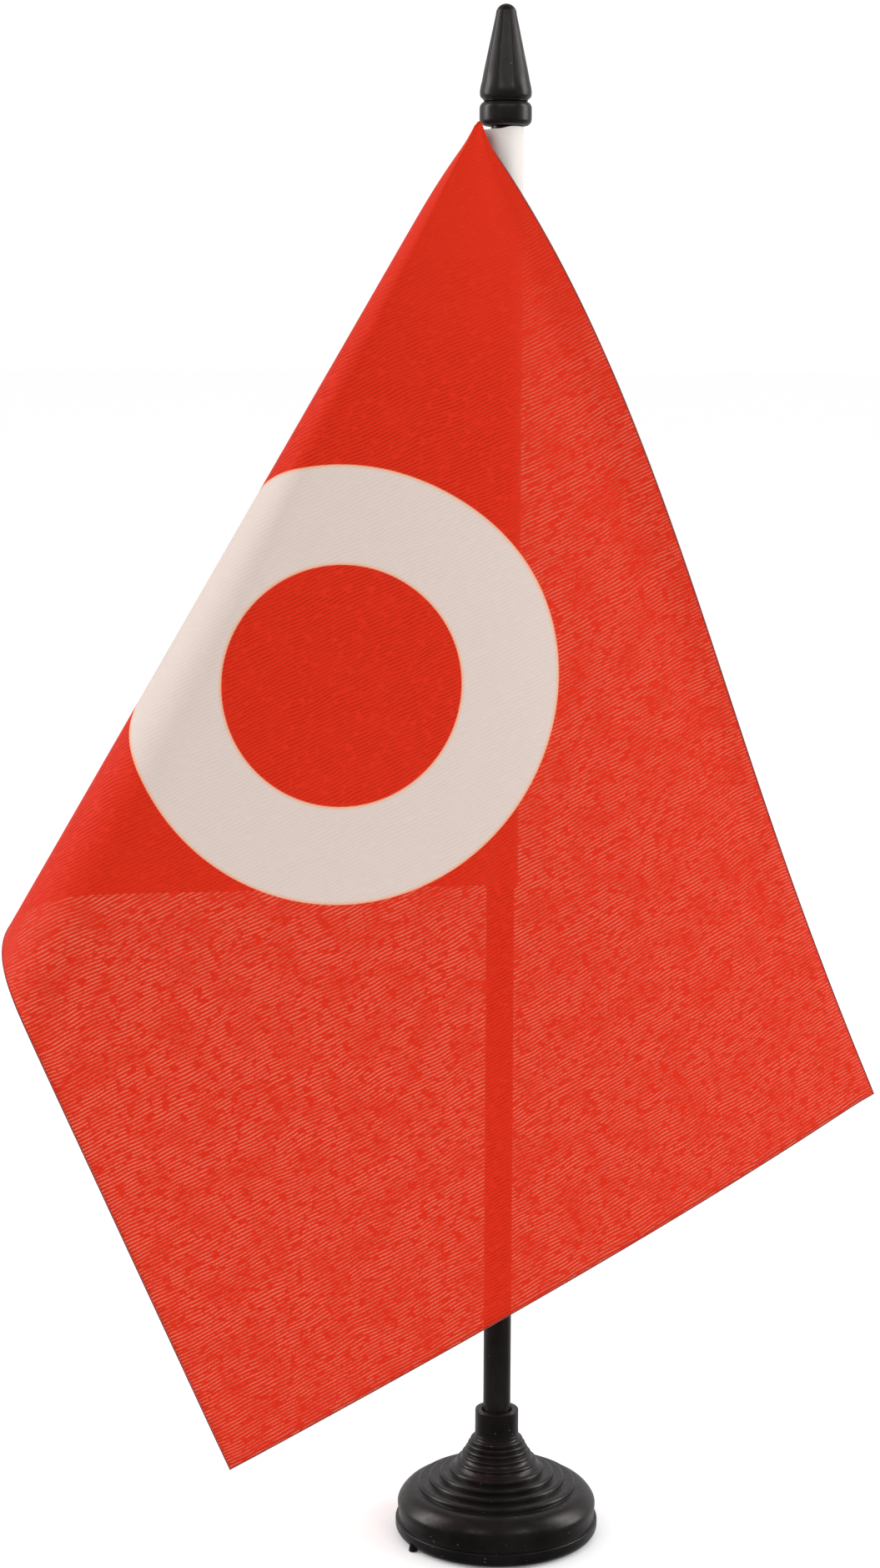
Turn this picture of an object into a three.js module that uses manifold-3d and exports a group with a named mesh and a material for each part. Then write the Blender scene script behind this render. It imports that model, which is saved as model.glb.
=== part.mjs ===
// Desk flag stand: a weighted moulded foot, a slim pole with a spear finial, and a small
// cloth flag whose hoist sleeve turns on the pole. Millimetres, +Z up along the pole.
// The origin is the centre of the foot's underside; the flag is seen from -Y.

import * as THREE from 'three';
import { mergeVertices } from 'three/addons/utils/BufferGeometryUtils.js';
import Module from 'manifold-3d';

// ---- Driving dimensions -------------------------------------------------------------

// Overall
const TOTAL_HEIGHT = 290;
const FOOT_RADIUS = 19.65;
const ROUND_SIDES = 48;

// Running fits, as radial clearances round the pole
const SOCKET_CLEARANCE = 0.1;
const FINIAL_CLEARANCE = 0.08;
const SLEEVE_CLEARANCE = 0.1;

// Pole: a thin-walled tube
const POLE_RADIUS = 2.65;
const POLE_WALL = 0.9;
const POLE_BEVEL = 0.25;

// Foot cap
const CAP_HEIGHT = 3.0;
const CAP_FLOOR_THICKNESS = 2.0;
const CAP_EDGE_ROUND = 1.8;
const CAP_SPIGOT_HEIGHT = 1.4;
const CAP_SPIGOT_WALL = 0.6;
const SPIGOT_CLEARANCE = 0.1;
const GATE_NUB_RADIUS = 0.9;
const GATE_NUB_HEIGHT = 1.3;
const GATE_NUB_ANGLE = 213;
const GATE_NUB_INSET = 0.5;

// Ballast inside the foot: a washer on the cap's floor, round the pole's socket
const BALLAST_HEIGHT = 5.0;
const BALLAST_RIM_GAP = 0.4;
const BALLAST_SOCKET_GAP = 0.9;
const BALLAST_BEVEL = 0.4;

// Foot shell: closes over the ballast
const WALL = 1.4;
const SHELL_INSET = 0.45;
const WAIST_INSET = 0.15;
const CAVITY_HEADROOM = 0.7;
const CAVITY_CORNER_WIDTH = 1.3;
const CAVITY_CORNER_HEIGHT = 1.5;
const SHOULDER_CURVE_WIDTH = 2.9;
const SHOULDER_CURVE_HEIGHT = 3.2;
const NECK_WALL = 1.45;
const NECK_HEIGHT = 15.6;
const NECK_FOOT_HEIGHT = 10.6;
const SOCKET_DEPTH = 16.0;
const SOCKET_FLOOR_THICKNESS = 1.5;

// Fine rings round the foot of the neck, from the top: how far each rounded lip stands out
// from the neck, and its height above the shoulder
const NECK_RINGS = [
  { out: 0.85, rise: 9.85 },
  { out: 1.35, rise: 8.95 },
  { out: 1.85, rise: 7.95 },
  { out: 2.5, rise: 6.95 },
  { out: 3.55, rise: 5.65 },
];
const NECK_RING_DROP = 0.45;

// Broad ledges of the dome, from the top: how far each lip lies across from the widest
// ring to the shoulder, as a share, and its height above the shoulder
const DOME_LEDGES = [
  { across: 0.176, rise: 4.3 },
  { across: 0.388, rise: 3.2 },
  { across: 0.624, rise: 2.2 },
  { across: 0.871, rise: 1.1 },
];
const LEDGE_DROP = 0.7;
const LIP_ROUND = 0.3;
const DOME_THICKNESS_AT_SOCKET = 3.7;
const DOME_THICKNESS_AT_RING = 3.55;
const DOME_THICKNESS_AT_LEDGE = 1.9;

// Finial: heights are measured up from the collar's underside
const FINIAL_LENGTH = 21.7;
const FINIAL_SEAT_DEPTH = 8.7;
const FINIAL_BORE_END_GAP = 0.3;
const COLLAR_WALL = 2.04;
const COLLAR_HEIGHT = 4.6;
const COLLAR_ROUND = 1.0;
const GROOVE_WALL = 1.17;
const GROOVE_RISE = 0.35;
const LIP_WALL = 1.92;
const LIP_RISE = 1.55;
const TIP_SHOULDER_DROP = 1.8;
const TIP_SHOULDER_RADIUS = 1.8;
const SPEAR_FACETS = 10;
const SPEAR_CORNERS = 4;

// Hoist sleeve
const SLEEVE_THICKNESS = 0.6;
const SLEEVE_TOP_GAP = 0.3;
const HOIST_LENGTH = 140;

// Flag cloth, laid flat: hoist edge against the sleeve, free edge at the far end
const FLAG_LENGTH = 205;
const FREE_EDGE_EXTRA = 5.6;
const CLOTH_THICKNESS = 0.3;
const SEAM_GAP = 0.04;

// Lock stitches along the hoist seam
const STITCH_LENGTH = 2.6;
const STITCH_PITCH = 3.5;
const STITCH_WIDTH = 0.35;
const STITCH_HEIGHT = 0.22;
const STITCH_INSET = 1.0;
const STITCH_END_MARGIN = 2.5;
const THREAD_LINE_HEIGHT = 0.1;

// How the cloth hangs: rays leave the top corner; each ray keeps its flat angle from the
// hoist. The rays lie flat behind the pole, turn over in one soft fold and come back in
// front of it. Angles in degrees.
const FOLD_BEYOND_STITCH = 1.2;
const FOLD_RAY_ANGLE = 26.3;
const FOLD_RAY_RADIUS = 3.75;
const FOLD_TURN = 187;
const FRONT_SWING = 19.5;
const FOLD_SOFTNESS = 3;
const FOLD_EAR = 1.0;
const FRONT_CLEARANCE = 3.0;
const TOP_EDGE_BOW = 50;
const BOW_FROM_ANGLE = 50;
const RAY_STEPS = 640;
const CLOTH_CELLS_LONG = 44;
const CLOTH_CELLS_DEEP = 26;
const CLOTH_CELL_GROWTH = 1.4;

// ---- Places that follow from them ----------------------------------------------------

// Radii, from the pole outwards and from the foot's rim inwards
const socketRadius = POLE_RADIUS + SOCKET_CLEARANCE;
const socketOuterRadius = socketRadius + WALL;
const neckRadius = socketRadius + NECK_WALL;
const finialBoreRadius = POLE_RADIUS + FINIAL_CLEARANCE;
const sleeveInnerRadius = POLE_RADIUS + SLEEVE_CLEARANCE;
const sleeveOuterRadius = sleeveInnerRadius + SLEEVE_THICKNESS;
const shellRadius = FOOT_RADIUS - SHELL_INSET;
const waistRadius = shellRadius - WAIST_INSET;
const cavityRadius = waistRadius - WALL;
const spigotRadius = cavityRadius - SPIGOT_CLEARANCE;
const ballastOuterRadius = spigotRadius - CAP_SPIGOT_WALL - BALLAST_RIM_GAP;
const ballastInnerRadius = socketOuterRadius + BALLAST_SOCKET_GAP;
const shoulderInnerRadius = shellRadius - SHOULDER_CURVE_WIDTH;

// Heights, stacked up from the foot's underside
const ballastTopZ = CAP_FLOOR_THICKNESS + BALLAST_HEIGHT;
const cavityTopZ = ballastTopZ + CAVITY_HEADROOM;
const shoulderTopZ = cavityTopZ + WALL;
const shoulderZ = shoulderTopZ - SHOULDER_CURVE_HEIGHT;
const neckFootZ = shoulderTopZ + NECK_FOOT_HEIGHT;
const neckTopZ = shoulderTopZ + NECK_HEIGHT;
const socketFloorZ = neckTopZ - SOCKET_DEPTH;

// Heights, down from the tip
const collarBottomZ = TOTAL_HEIGHT - FINIAL_LENGTH;
const poleTopZ = collarBottomZ + FINIAL_SEAT_DEPTH;
const boreEndZ = poleTopZ + FINIAL_BORE_END_GAP;
const sleeveTopZ = collarBottomZ - SLEEVE_TOP_GAP;
const sleeveBottomZ = sleeveTopZ - HOIST_LENGTH;

// The seam: where the cloth meets the sleeve, and where its flat strip ends
const seamX = -(sleeveOuterRadius + SEAM_GAP);
const foldStartsAt = STITCH_INSET + FOLD_BEYOND_STITCH;
const frontStandOff = sleeveOuterRadius + FRONT_CLEARANCE;

// ---- Shared helpers -----------------------------------------------------------------

const DEGREE = Math.PI / 180;

// Joins coincident corners and drops the slivers a turned profile leaves on its axis.
function weld(geometry) {
  const bare = geometry.clone();
  bare.deleteAttribute('normal');
  bare.deleteAttribute('uv');
  const joined = mergeVertices(bare, 1e-4);
  const source = joined.index.array;
  const kept = [];
  for (let i = 0; i < source.length; i += 3) {
    const [a, b, c] = [source[i], source[i + 1], source[i + 2]];
    if (a !== b && b !== c && c !== a) {
      kept.push(a, b, c);
    }
  }
  joined.setIndex(kept);
  return joined;
}

// Turns a profile of [radius, height] points about +Z; points run up the outside.
function turned(profile, sides = ROUND_SIDES) {
  const points = profile.map(([radius, z]) => new THREE.Vector2(radius, z));
  const geometry = new THREE.LatheGeometry(points, sides);
  geometry.rotateX(Math.PI / 2);
  return weld(geometry);
}

// Points on an arc in the profile plane, from one angle to another, in degrees.
function arc(centreRadius, centreZ, radius, fromAngle, toAngle, steps) {
  const points = [];
  for (let i = 0; i <= steps; i += 1) {
    const angle = (fromAngle + ((toAngle - fromAngle) * i) / steps) * DEGREE;
    points.push([centreRadius + radius * Math.cos(angle), centreZ + radius * Math.sin(angle)]);
  }
  return points;
}

function smoothStep(value) {
  const t = Math.min(1, Math.max(0, value));
  return t * t * (3 - 2 * t);
}

const wasm = await Module();
wasm.setup();

function toManifold(geometry) {
  return new wasm.Manifold(
    new wasm.Mesh({
      numProp: 3,
      vertProperties: new Float32Array(geometry.attributes.position.array),
      triVerts: new Uint32Array(geometry.index.array),
    }),
  );
}

function fromManifold(solid) {
  const mesh = solid.getMesh();
  const geometry = new THREE.BufferGeometry();
  geometry.setAttribute('position', new THREE.BufferAttribute(mesh.vertProperties.slice(), 3));
  geometry.setIndex(Array.from(mesh.triVerts));
  return geometry;
}

const stand = new THREE.Group();
stand.name = 'desk_flag_stand';

function addPiece(name, geometry, color, roughness, metalness) {
  geometry.computeVertexNormals();
  const material = new THREE.MeshStandardMaterial({ color, roughness, metalness });
  const mesh = new THREE.Mesh(geometry, material);
  mesh.name = name;
  stand.add(mesh);
}

// ---- Foot shell: hollow moulding with ringed dome, neck and pole socket ---------------

// One rounded lip of the stepped dome, from its foot inwards over its top.
function lip(radius, z, drop) {
  return [
    [radius, z - drop],
    [radius - LIP_ROUND * 0.2, z - drop * 0.35],
    [radius - LIP_ROUND, z],
    [radius - LIP_ROUND * 2 - 0.02, z + 0.1],
  ];
}

const rings = NECK_RINGS.map(({ out, rise }) => ({ radius: neckRadius + out, z: shoulderTopZ + rise }));
const widestRing = rings[rings.length - 1];
const domeWidth = shoulderInnerRadius - widestRing.radius;
const ledges = DOME_LEDGES.map(({ across, rise }) => ({
  radius: widestRing.radius + domeWidth * across,
  z: shoulderTopZ + rise,
}));
const thinLedge = ledges[ledges.length - 2];

const shellProfile = [
  [0, socketFloorZ - SOCKET_FLOOR_THICKNESS],
  [socketOuterRadius, socketFloorZ - SOCKET_FLOOR_THICKNESS],
  [socketOuterRadius, rings[rings.length - 2].z - DOME_THICKNESS_AT_SOCKET],
  [widestRing.radius, widestRing.z - DOME_THICKNESS_AT_RING],
  [thinLedge.radius, thinLedge.z - DOME_THICKNESS_AT_LEDGE],
  [cavityRadius - CAVITY_CORNER_WIDTH, cavityTopZ],
  [cavityRadius, cavityTopZ - CAVITY_CORNER_HEIGHT],
  [cavityRadius, CAP_HEIGHT],
  [waistRadius, CAP_HEIGHT],
  [waistRadius, CAP_HEIGHT + 0.9],
  [waistRadius + 0.08, shoulderZ - 1.1],
  [shellRadius - 0.04, shoulderZ - 0.5],
  [shellRadius, shoulderZ],
  [shellRadius - 0.12, shoulderZ + 0.6],
  [shellRadius - 0.5, shoulderZ + 1.25],
  [shellRadius - 1.15, shoulderZ + 2.05],
  [shellRadius - 1.95, shoulderZ + 2.75],
  [shoulderInnerRadius, shoulderTopZ],
  ...[...ledges].reverse().flatMap(({ radius, z }) => lip(radius, z, LEDGE_DROP)),
  ...[...rings].reverse().flatMap(({ radius, z }) => lip(radius, z, NECK_RING_DROP)),
  [neckRadius + 0.12, neckFootZ],
  [neckRadius, neckFootZ + 0.25],
  ...arc(neckRadius - 0.35, neckTopZ - 0.35, 0.35, 0, 90, 3),
  ...arc(socketRadius + 0.25, neckTopZ - 0.25, 0.25, 90, 180, 2),
  [socketRadius, socketFloorZ],
  [0, socketFloorZ],
];
addPiece('base_shell', turned(shellProfile), 0x232021, 0.5, 0);

// ---- Ballast ring: steel washer lying in the foot, round the socket tube --------------

addPiece(
  'ballast_ring',
  turned([
    [ballastInnerRadius, CAP_FLOOR_THICKNESS],
    [ballastOuterRadius, CAP_FLOOR_THICKNESS],
    [ballastOuterRadius, ballastTopZ - BALLAST_BEVEL],
    [ballastOuterRadius - BALLAST_BEVEL, ballastTopZ],
    [ballastInnerRadius, ballastTopZ],
    [ballastInnerRadius, CAP_FLOOR_THICKNESS],
  ]),
  0x8b8d90,
  0.45,
  1,
);

// ---- Bottom cap: flat disc that closes the foot, with its moulding gate nub -----------

const spigotTopZ = CAP_HEIGHT + CAP_SPIGOT_HEIGHT;
const capBody = turned([
  [0, 0],
  ...arc(FOOT_RADIUS - CAP_EDGE_ROUND, CAP_EDGE_ROUND, CAP_EDGE_ROUND, -90, 0, 5),
  [FOOT_RADIUS, CAP_HEIGHT - 0.35],
  [FOOT_RADIUS - 0.3, CAP_HEIGHT],
  [spigotRadius, CAP_HEIGHT],
  [spigotRadius, spigotTopZ],
  [spigotRadius - CAP_SPIGOT_WALL, spigotTopZ],
  [spigotRadius - CAP_SPIGOT_WALL, CAP_FLOOR_THICKNESS],
  [0, CAP_FLOOR_THICKNESS],
]);
const nub = new THREE.CylinderGeometry(GATE_NUB_RADIUS * 0.8, GATE_NUB_RADIUS, GATE_NUB_HEIGHT, 16);
nub.rotateX(Math.PI / 2);
const nubReach = FOOT_RADIUS - GATE_NUB_INSET;
nub.translate(
  nubReach * Math.cos(GATE_NUB_ANGLE * DEGREE),
  nubReach * Math.sin(GATE_NUB_ANGLE * DEGREE),
  GATE_NUB_HEIGHT / 2,
);
const capSolid = toManifold(capBody).add(toManifold(weld(nub)));
addPiece('bottom_cap', fromManifold(capSolid), 0x201d1e, 0.5, 0);

// ---- Pole: thin-walled tube standing on the socket floor ------------------------------

const poleBoreRadius = POLE_RADIUS - POLE_WALL;
addPiece(
  'pole',
  turned([
    [poleBoreRadius, socketFloorZ],
    [POLE_RADIUS - POLE_BEVEL, socketFloorZ],
    [POLE_RADIUS, socketFloorZ + POLE_BEVEL],
    [POLE_RADIUS, poleTopZ - POLE_BEVEL],
    [POLE_RADIUS - POLE_BEVEL, poleTopZ],
    [poleBoreRadius, poleTopZ],
    [poleBoreRadius, socketFloorZ],
  ]),
  0x232020,
  0.4,
  0,
);

// ---- Finial: collar, groove and faceted spear, with a blind bore for the pole ---------

const collarRadius = finialBoreRadius + COLLAR_WALL;
const collarTopZ = collarBottomZ + COLLAR_HEIGHT;
const grooveRadius = finialBoreRadius + GROOVE_WALL;
const grooveZ = collarTopZ + GROOVE_RISE;
const lipRadius = finialBoreRadius + LIP_WALL;
const lipZ = grooveZ + LIP_RISE;
const tipShoulderZ = TOTAL_HEIGHT - TIP_SHOULDER_DROP;
const spearProfile = [
  [finialBoreRadius, collarBottomZ],
  ...arc(collarRadius - COLLAR_ROUND, collarBottomZ + COLLAR_ROUND, COLLAR_ROUND, -90, 0, 3),
  ...arc(collarRadius - COLLAR_ROUND, collarTopZ - COLLAR_ROUND, COLLAR_ROUND, 0, 80, 3),
  [grooveRadius, grooveZ - 0.08],
  [grooveRadius, grooveZ + 0.08],
  [lipRadius - 0.25, lipZ - 1.05],
  [lipRadius, lipZ - 0.35],
  [lipRadius - 0.04, lipZ + 0.25],
  [lipRadius - 0.28, lipZ + 1.2],
];
const coneFoot = spearProfile[spearProfile.length - 1];
const coneSteps = 4;
for (let i = 1; i <= coneSteps; i += 1) {
  const t = i / coneSteps;
  spearProfile.push([
    coneFoot[0] + (TIP_SHOULDER_RADIUS - coneFoot[0]) * t,
    coneFoot[1] + (tipShoulderZ - coneFoot[1]) * t,
  ]);
}
for (const angle of [25, 50, 72]) {
  spearProfile.push([
    TIP_SHOULDER_RADIUS * Math.cos(angle * DEGREE),
    tipShoulderZ + TIP_SHOULDER_DROP * Math.sin(angle * DEGREE),
  ]);
}
spearProfile.push([0, TOTAL_HEIGHT]);
spearProfile.push([0, boreEndZ]);
spearProfile.push([finialBoreRadius, boreEndZ]);
spearProfile.push([finialBoreRadius, collarBottomZ]);

const finial = turned(spearProfile, SPEAR_FACETS * SPEAR_CORNERS);
const finialPoints = finial.attributes.position;
const facetAngle = 360 / SPEAR_FACETS;
for (let i = 0; i < finialPoints.count; i += 1) {
  const x = finialPoints.getX(i);
  const y = finialPoints.getY(i);
  const z = finialPoints.getZ(i);
  const radius = Math.hypot(x, y);
  const faceting = smoothStep((z - lipZ - 0.3) / 2.2);
  const onOutside = radius > finialBoreRadius + 0.05 || z > boreEndZ + 0.2;
  if (onOutside && faceting > 0 && radius > 0.01) {
    const turn = (((Math.atan2(y, x) / DEGREE) % facetAngle) + facetAngle) % facetAngle;
    const flat = Math.cos((facetAngle / 2) * DEGREE) / Math.cos((turn - facetAngle / 2) * DEGREE);
    const scale = 1 + (flat * 1.02 - 1) * faceting;
    finialPoints.setXY(i, x * scale, y * scale);
  }
}
addPiece('finial', finial, 0x39352f, 0.35, 0);

// ---- Hoist sleeve: narrow cloth tube round the pole ------------------------------------

addPiece(
  'hoist_sleeve',
  turned([
    [sleeveInnerRadius, sleeveBottomZ],
    [sleeveOuterRadius, sleeveBottomZ],
    [sleeveOuterRadius, sleeveTopZ],
    [sleeveInnerRadius, sleeveTopZ],
    [sleeveInnerRadius, sleeveBottomZ],
  ]),
  0xdfd5cf,
  0.85,
  0,
);

// ---- Flag cloth: one sheet, folded over once from its top corner -----------------------

// Direction of every ray, as a sideways angle and a forward angle, found by walking along
// the fold in plan: straight back layer, half turn, slightly curved front layer.
function walkRays() {
  const firstAngle = -10;
  const lastAngle = 112;
  const step = (lastAngle - firstAngle) / RAY_STEPS;
  const foldArc = FOLD_RAY_RADIUS * FOLD_TURN * DEGREE;
  const foldEnd = FOLD_RAY_ANGLE + foldArc;
  const heading = (angle) => {
    const turnedBy = Math.min(1, Math.max(0, (angle - FOLD_RAY_ANGLE) / foldArc)) * FOLD_TURN;
    const swing = Math.max(0, (angle - foldEnd) / (90 - foldEnd)) * FRONT_SWING;
    return angle > 90 ? 360 : 180 + turnedBy + swing;
  };
  const softHeading = (angle) => {
    let sum = 0;
    let weights = 0;
    const samples = 8;
    for (let k = -samples; k <= samples; k += 1) {
      const weight = 1 + Math.cos((Math.PI * k) / (samples + 1));
      sum += weight * heading(angle + (FOLD_SOFTNESS * k) / (samples + 1));
      weights += weight;
    }
    return sum / weights;
  };
  const rays = [];
  let sideways = -firstAngle;
  let forward = 0;
  for (let i = 0; i <= RAY_STEPS; i += 1) {
    const angle = firstAngle + step * i;
    rays.push({ sideways, forward });
    const direction = softHeading(angle) * DEGREE;
    sideways += (Math.cos(direction) * step) / Math.cos(forward * DEGREE);
    forward += Math.sin(direction) * step;
  }
  return { rays, firstAngle, step, foldArc };
}

const walk = walkRays();

function rayAt(angle) {
  const place = (angle - walk.firstAngle) / walk.step;
  const low = Math.min(RAY_STEPS - 1, Math.max(0, Math.floor(place)));
  const part = place - low;
  const a = walk.rays[low];
  const b = walk.rays[low + 1];
  return {
    sideways: (a.sideways + (b.sideways - a.sideways) * part) * DEGREE,
    forward: (a.forward + (b.forward - a.forward) * part) * DEGREE,
  };
}

// Place of one point of the flat cloth: along is measured from the hoist, down from the top.
function clothPoint(along, down) {
  const fromFold = along - foldStartsAt;
  if (fromFold <= 0) {
    return new THREE.Vector3(seamX - along, 0, sleeveTopZ - down);
  }
  const reach = Math.hypot(fromFold, down);
  const flatAngle = Math.atan2(fromFold, down) / DEGREE;
  const part = Math.min(1, reach / (FLAG_LENGTH - foldStartsAt));
  const bowShare = Math.min(1, Math.max(0, (flatAngle - BOW_FROM_ANGLE) / (90 - BOW_FROM_ANGLE))) ** 2;
  const bow = TOP_EDGE_BOW * part * (1 - part) ** 2.5 * bowShare;
  const angle = flatAngle + bow / Math.max(reach, 1) / DEGREE;
  const { sideways, forward } = rayAt(angle);
  const turnedOver = smoothStep((angle - FOLD_RAY_ANGLE) / walk.foldArc);
  const ear = FOLD_EAR * Math.sin(Math.PI * turnedOver);
  return new THREE.Vector3(
    seamX - foldStartsAt - ear + reach * Math.sin(sideways) * Math.cos(forward),
    -frontStandOff * turnedOver + reach * Math.sin(forward),
    sleeveTopZ - reach * Math.cos(sideways) * Math.cos(forward),
  );
}

// A closed thin solid either side of the sheet.
function clothSolid() {
  const columns = CLOTH_CELLS_LONG + 1;
  const rows = CLOTH_CELLS_DEEP + 1;
  const place = [];
  for (let i = 0; i < columns; i += 1) {
    const along = FLAG_LENGTH * (i / CLOTH_CELLS_LONG) ** CLOTH_CELL_GROWTH;
    const depth = HOIST_LENGTH + (FREE_EDGE_EXTRA * along) / FLAG_LENGTH;
    for (let j = 0; j < rows; j += 1) {
      place.push(clothPoint(along, depth * (j / CLOTH_CELLS_DEEP) ** CLOTH_CELL_GROWTH));
    }
  }
  const at = (i, j) => place[i * rows + j];
  const positions = [];
  for (const side of [1, -1]) {
    for (let i = 0; i < columns; i += 1) {
      for (let j = 0; j < rows; j += 1) {
        const across = at(Math.min(i + 1, columns - 1), j).clone().sub(at(Math.max(i - 1, 0), j));
        const downwards = at(i, Math.min(j + 1, rows - 1)).clone().sub(at(i, Math.max(j - 1, 0)));
        const normal = across.cross(downwards).normalize();
        const point = at(i, j).clone().addScaledVector(normal, (side * CLOTH_THICKNESS) / 2);
        positions.push(point.x, point.y, point.z);
      }
    }
  }
  const back = columns * rows;
  const triangles = [];
  const quad = (a, b, c, d) => triangles.push(a, b, c, a, c, d);
  for (let i = 0; i < CLOTH_CELLS_LONG; i += 1) {
    for (let j = 0; j < CLOTH_CELLS_DEEP; j += 1) {
      const a = i * rows + j;
      quad(a, a + rows, a + rows + 1, a + 1);
      quad(back + a, back + a + 1, back + a + rows + 1, back + a + rows);
    }
  }
  for (let i = 0; i < CLOTH_CELLS_LONG; i += 1) {
    const top = i * rows;
    const bottom = top + rows - 1;
    quad(top, back + top, back + top + rows, top + rows);
    quad(bottom, bottom + rows, back + bottom + rows, back + bottom);
  }
  for (let j = 0; j < CLOTH_CELLS_DEEP; j += 1) {
    const far = (columns - 1) * rows + j;
    quad(j, j + 1, back + j + 1, back + j);
    quad(far, back + far, back + far + 1, far + 1);
  }
  const geometry = new THREE.BufferGeometry();
  geometry.setAttribute('position', new THREE.Float32BufferAttribute(positions, 3));
  geometry.setIndex(triangles);
  return geometry;
}

addPiece('flag_cloth', clothSolid(), 0xdc4526, 0.8, 0);

// ---- Seam threads: one lock-stitch thread on each face of the hoist seam ---------------

const stitchRun = HOIST_LENGTH - 2 * STITCH_END_MARGIN;
const stitchCount = Math.floor(stitchRun / STITCH_PITCH);

// Side view of one thread: a low running line with a raised stitch every pitch.
function seamThread(side) {
  const outline = new THREE.Shape();
  const length = stitchCount * STITCH_PITCH;
  const rise = STITCH_HEIGHT - THREAD_LINE_HEIGHT;
  outline.moveTo(0, 0);
  outline.lineTo(length, 0);
  for (let i = stitchCount - 1; i >= 0; i -= 1) {
    const start = i * STITCH_PITCH;
    const end = start + STITCH_LENGTH;
    outline.lineTo(start + STITCH_PITCH, THREAD_LINE_HEIGHT);
    outline.lineTo(end, THREAD_LINE_HEIGHT);
    outline.lineTo(end - rise, STITCH_HEIGHT);
    outline.lineTo(start + rise, STITCH_HEIGHT);
    outline.lineTo(start, THREAD_LINE_HEIGHT);
  }
  const thread = new THREE.ExtrudeGeometry(outline, { depth: STITCH_WIDTH, bevelEnabled: false });
  thread.translate(0, 0, -STITCH_WIDTH / 2);
  thread.rotateX(side > 0 ? 0 : Math.PI);
  thread.rotateY(Math.PI / 2);
  thread.translate(
    seamX - STITCH_INSET,
    (side * CLOTH_THICKNESS) / 2,
    sleeveTopZ - STITCH_END_MARGIN,
  );
  return weld(thread);
}

addPiece('seam_thread_back', seamThread(1), 0xe8e0d8, 0.8, 0);
addPiece('seam_thread_front', seamThread(-1), 0xe8e0d8, 0.8, 0);

export default stand;
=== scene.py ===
import math

import bmesh
import bpy
import numpy as np
from mathutils import Matrix, Vector


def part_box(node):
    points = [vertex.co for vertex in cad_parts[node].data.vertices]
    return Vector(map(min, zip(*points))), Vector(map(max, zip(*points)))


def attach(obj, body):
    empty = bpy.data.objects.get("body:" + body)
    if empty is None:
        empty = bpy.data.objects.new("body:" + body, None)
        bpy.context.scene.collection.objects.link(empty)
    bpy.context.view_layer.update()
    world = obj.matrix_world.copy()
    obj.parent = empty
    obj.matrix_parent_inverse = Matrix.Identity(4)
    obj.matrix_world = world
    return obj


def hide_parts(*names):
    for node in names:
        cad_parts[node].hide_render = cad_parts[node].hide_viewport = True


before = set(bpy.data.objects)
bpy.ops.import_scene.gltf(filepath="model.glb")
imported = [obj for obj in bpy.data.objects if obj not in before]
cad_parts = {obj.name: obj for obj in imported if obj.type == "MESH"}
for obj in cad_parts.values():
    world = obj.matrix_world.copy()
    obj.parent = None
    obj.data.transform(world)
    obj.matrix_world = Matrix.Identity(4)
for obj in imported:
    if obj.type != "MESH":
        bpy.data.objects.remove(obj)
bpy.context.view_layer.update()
mm = 0.001

# ---------------------------------------------------------------------------
# Foot moulding. A hollow black plastic shell, injection moulded in one shot:
# a waist and round shoulder, a dome of broad ledges, five fine rings, and a
# neck with the blind socket that the pole pushes into.
# ---------------------------------------------------------------------------
foot_low, foot_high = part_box("base_shell")
foot_shoulder_radius = foot_high.x
foot_waist_radius = foot_shoulder_radius - 0.15 * mm
foot_wall = 1.4 * mm
parting_z = foot_low.z
shoulder_z = 5.9 * mm
neck_radius = 4.2 * mm
neck_top_z = foot_high.z
neck_foot_z = 19.7 * mm
socket_radius = 2.75 * mm
socket_floor_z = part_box("pole")[0].z
dome_ledges = [(15.3, 10.25), (13.15, 11.3), (11.1, 12.25), (9.1, 13.25)]
ledge_drop = 0.95
neck_rings = [(7.75, 14.75), (6.75, 16.05), (6.1, 17.05), (5.6, 18.05), (5.1, 18.95)]
ring_drop = 0.62
socket_floor_thickness = 1.5 * mm
round_sides = 176
crease = math.radians(38)


def softened(points, rounds):
    """Cuts the corners of a profile a few times, keeping its two ends."""
    for _ in range(rounds):
        cut = [points[0]]
        for (r0, z0), (r1, z1) in zip(points, points[1:]):
            cut.append((0.75 * r0 + 0.25 * r1, 0.75 * z0 + 0.25 * z1))
            cut.append((0.25 * r0 + 0.75 * r1, 0.25 * z0 + 0.75 * z1))
        cut.append(points[-1])
        points = cut
    return points


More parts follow.
